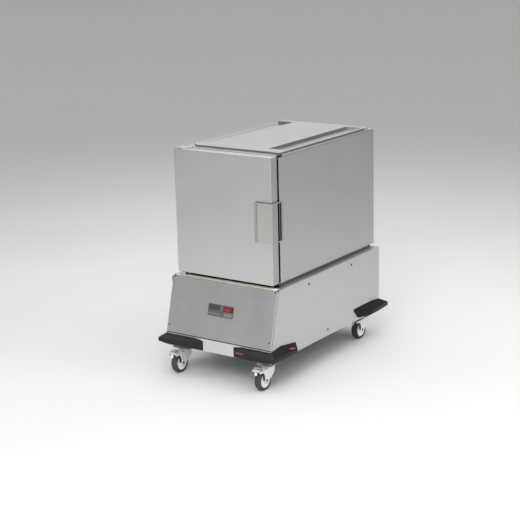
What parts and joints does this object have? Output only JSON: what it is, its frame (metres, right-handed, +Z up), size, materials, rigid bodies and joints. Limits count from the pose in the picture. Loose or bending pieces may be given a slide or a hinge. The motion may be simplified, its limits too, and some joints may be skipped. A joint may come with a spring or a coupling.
{
  "type": "meal tray cart",
  "caption": "Enclosed meal tray cart: insulated steel cabinet with a hinged front door and tray racks on a wider heated base with corner bumpers and swivel casters.",
  "frame": {"origin": "centre of the footprint on the floor", "axes": "+X to the viewer's right across the width, -Y out of the door (front), +Z up"},
  "size_m": [0.872, 1.4214, 1.412],
  "materials": {
    "cabinet_steel": "satin",
    "base_steel": "satin",
    "liner_steel": "satin",
    "insulation_foam": "matte",
    "tyre_rubber": "matte",
    "bumper_rubber": "matte",
    "seal_rubber": "matte",
    "white_plastic": "matte",
    "zinc_steel": "satin",
    "dark_plastic": "matte",
    "display_red": "gloss",
    "key_grey": "matte",
    "board_green": "matte",
    "grey_metal": "satin",
    "heater_metal": "satin",
    "keeper_dark": "satin",
    "screw_steel": "satin",
    "fan_aluminium": "satin"
  },
  "bodies": {
    "cabinet": {"cabinet_shell": "cabinet_steel", "inner_liner": "liner_steel", "insulation": "insulation_foam", "top_panel": "cabinet_steel", "tray_rack_left": "liner_steel", "tray_rack_right": "liner_steel", "air_duct_panel": "liner_steel", "deck_plate": "base_steel", "side_panel_left": "base_steel", "side_panel_right": "base_steel", "rear_panel": "base_steel", "front_panel": "base_steel", "chassis_pan": "base_steel", "front_apron": "base_steel", "bumper_front_left": "bumper_rubber", "bumper_front_right": "bumper_rubber", "bumper_rear_left": "bumper_rubber", "bumper_rear_right": "bumper_rubber", "panel_screws": "screw_steel", "control_fascia": "dark_plastic", "display_lens": "display_red", "control_board": "board_green", "power_unit": "grey_metal", "heater_element": "heater_metal", "fan_motor": "grey_metal", "power_inlet": "dark_plastic", "hinge_brackets": "cabinet_steel", "handle_keeper": "keeper_dark", "door_buffer": "seal_rubber", "push_handle": "cabinet_steel", "caster_plates": "zinc_steel"},
    "door": {"door_skin": "cabinet_steel", "door_inner_panel": "liner_steel", "door_foam": "insulation_foam", "door_gasket": "seal_rubber", "door_bushes": "white_plastic", "handle_mount": "cabinet_steel"},
    "paddle": {"handle_paddle": "cabinet_steel"},
    "key_power_cap": {"key_power": "key_grey"},
    "key_up_cap": {"key_up": "key_grey"},
    "key_down_cap": {"key_down": "key_grey"},
    "fan": {"fan_impeller": "fan_aluminium"},
    "swivel_front_left": {"fork_front_left": "zinc_steel", "axle_front_left": "zinc_steel"},
    "wheel_front_left": {"hub_front_left": "white_plastic", "tyre_front_left": "tyre_rubber"},
    "swivel_front_right": {"fork_front_right": "zinc_steel", "axle_front_right": "zinc_steel"},
    "wheel_front_right": {"hub_front_right": "white_plastic", "tyre_front_right": "tyre_rubber"},
    "swivel_rear_left": {"fork_rear_left": "zinc_steel", "axle_rear_left": "zinc_steel"},
    "wheel_rear_left": {"hub_rear_left": "white_plastic", "tyre_rear_left": "tyre_rubber"},
    "swivel_rear_right": {"fork_rear_right": "zinc_steel", "axle_rear_right": "zinc_steel"},
    "wheel_rear_right": {"hub_rear_right": "white_plastic", "tyre_rear_right": "tyre_rubber"},
    "brake_front_left": {"pedal_front_left": "zinc_steel"},
    "brake_front_right": {"pedal_front_right": "zinc_steel"}
  },
  "joints": [
    {"name": "door_hinge", "type": "hinge", "parent": "cabinet", "child": "door", "pos_m": [-0.342, -0.52875, 1.015], "axis": [0, 0, -1], "range_deg": [0, 180]},
    {"name": "handle_hinge", "type": "hinge", "parent": "door", "child": "paddle", "pos_m": [0.246, -0.56525, 1.01], "axis": [0, 0, -1], "range_deg": [0, 14], "stiffness_Nm_per_rad": 4, "springref_deg": -5.73},
    {"name": "key_power_press", "type": "slide", "parent": "cabinet", "child": "key_power_cap", "axis": [0, 0.9659, -0.2588], "range_m": [0, 0.0012], "stiffness_N_per_m": 400, "springref_m": -0.0005},
    {"name": "key_up_press", "type": "slide", "parent": "cabinet", "child": "key_up_cap", "axis": [0, 0.9659, -0.2588], "range_m": [0, 0.0012], "stiffness_N_per_m": 400, "springref_m": -0.0005},
    {"name": "key_down_press", "type": "slide", "parent": "cabinet", "child": "key_down_cap", "axis": [0, 0.9659, -0.2588], "range_m": [0, 0.0012], "stiffness_N_per_m": 400, "springref_m": -0.0005},
    {"name": "fan_spin", "type": "hinge", "parent": "cabinet", "child": "fan", "pos_m": [0, 0.44125, 0.64], "axis": [0, 0, 1], "continuous": true},
    {"name": "swivel_front_left_turn", "type": "hinge", "parent": "cabinet", "child": "swivel_front_left", "pos_m": [-0.315, -0.58075, 0.135], "axis": [0, 0, 1], "continuous": true},
    {"name": "wheel_front_left_roll", "type": "hinge", "parent": "swivel_front_left", "child": "wheel_front_left", "pos_m": [-0.315, -0.63275, 0.0625], "axis": [1, 0, 0], "continuous": true},
    {"name": "swivel_front_right_turn", "type": "hinge", "parent": "cabinet", "child": "swivel_front_right", "pos_m": [0.315, -0.58075, 0.135], "axis": [0, 0, 1], "continuous": true},
    {"name": "wheel_front_right_roll", "type": "hinge", "parent": "swivel_front_right", "child": "wheel_front_right", "pos_m": [0.315, -0.63275, 0.0625], "axis": [1, 0, 0], "continuous": true},
    {"name": "swivel_rear_left_turn", "type": "hinge", "parent": "cabinet", "child": "swivel_rear_left", "pos_m": [-0.315, 0.55925, 0.135], "axis": [0, 0, 1], "continuous": true},
    {"name": "wheel_rear_left_roll", "type": "hinge", "parent": "swivel_rear_left", "child": "wheel_rear_left", "pos_m": [-0.315, 0.50725, 0.0625], "axis": [1, 0, 0], "continuous": true},
    {"name": "swivel_rear_right_turn", "type": "hinge", "parent": "cabinet", "child": "swivel_rear_right", "pos_m": [0.315, 0.55925, 0.135], "axis": [0, 0, 1], "continuous": true},
    {"name": "wheel_rear_right_roll", "type": "hinge", "parent": "swivel_rear_right", "child": "wheel_rear_right", "pos_m": [0.315, 0.50725, 0.0625], "axis": [1, 0, 0], "continuous": true},
    {"name": "brake_front_left_pedal", "type": "hinge", "parent": "swivel_front_left", "child": "brake_front_left", "pos_m": [-0.315, -0.64675, 0.139], "axis": [1, 0, 0], "range_deg": [0, 8]},
    {"name": "brake_front_right_pedal", "type": "hinge", "parent": "swivel_front_right", "child": "brake_front_right", "pos_m": [0.315, -0.64675, 0.139], "axis": [1, 0, 0], "range_deg": [0, 8]}
  ]
}
